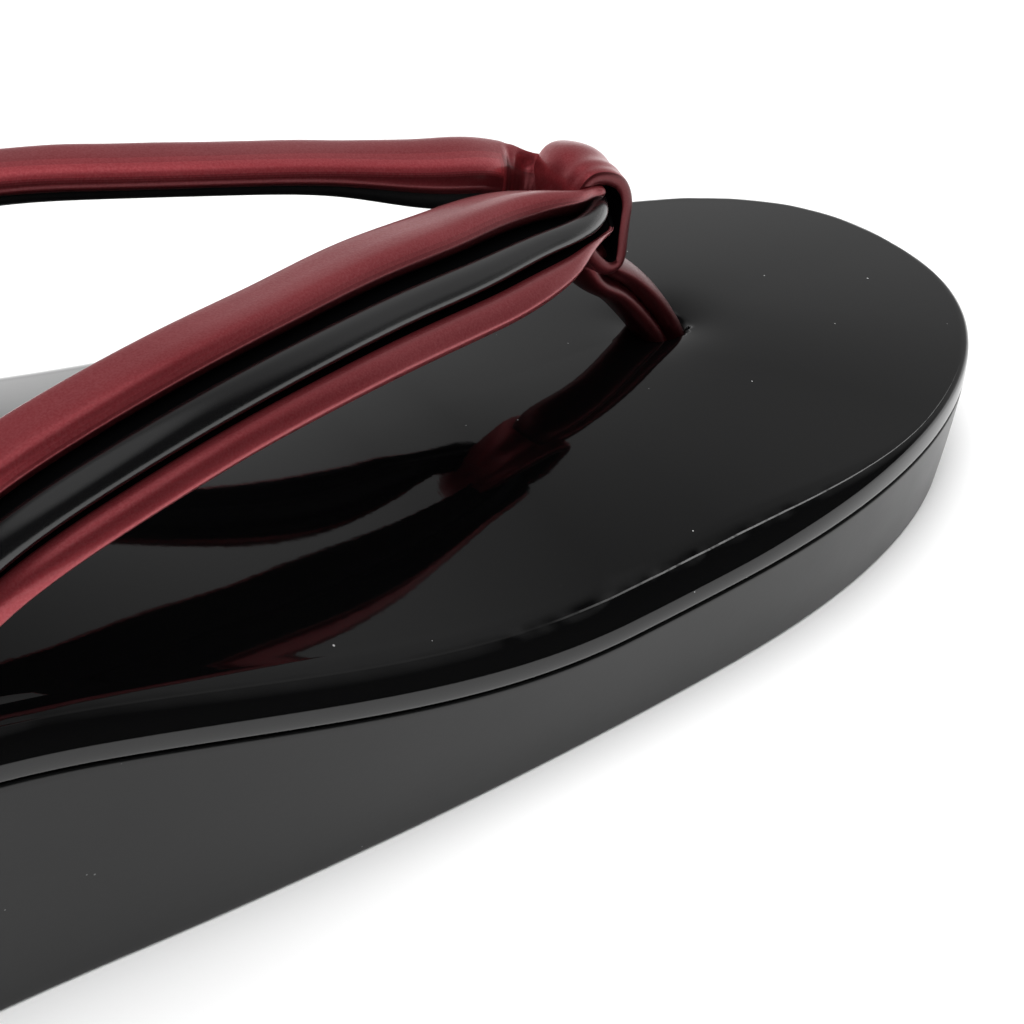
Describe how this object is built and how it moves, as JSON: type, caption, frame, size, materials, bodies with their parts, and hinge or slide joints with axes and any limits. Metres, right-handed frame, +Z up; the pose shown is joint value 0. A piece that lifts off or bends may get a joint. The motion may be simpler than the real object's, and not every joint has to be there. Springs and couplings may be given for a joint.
{
  "type": "zori",
  "caption": "Wedge-soled zori sandal in black patent, with a padded top board, padded burgundy straps with black centre rolls, and a front thong that rings them.",
  "frame": {"origin": "on the floor under the middle of the sole", "axes": "+X to the toe, +Y to the left side, +Z up"},
  "size_m": [0.243, 0.084, 0.0711],
  "materials": {
    "patent_wall": "black patent, high gloss",
    "patent_top": "black patent, mirror gloss",
    "burgundy_leather": "burgundy pearl leather, satin",
    "black_roll": "black leather, satin"
  },
  "bodies": {
    "root": {"sole_body": "patent_wall", "top_board": "patent_top", "hanao_straps": "burgundy_leather", "black_roll_right": "black_roll", "black_roll_left": "black_roll", "front_thong": "burgundy_leather"}
  },
  "joints": []
}
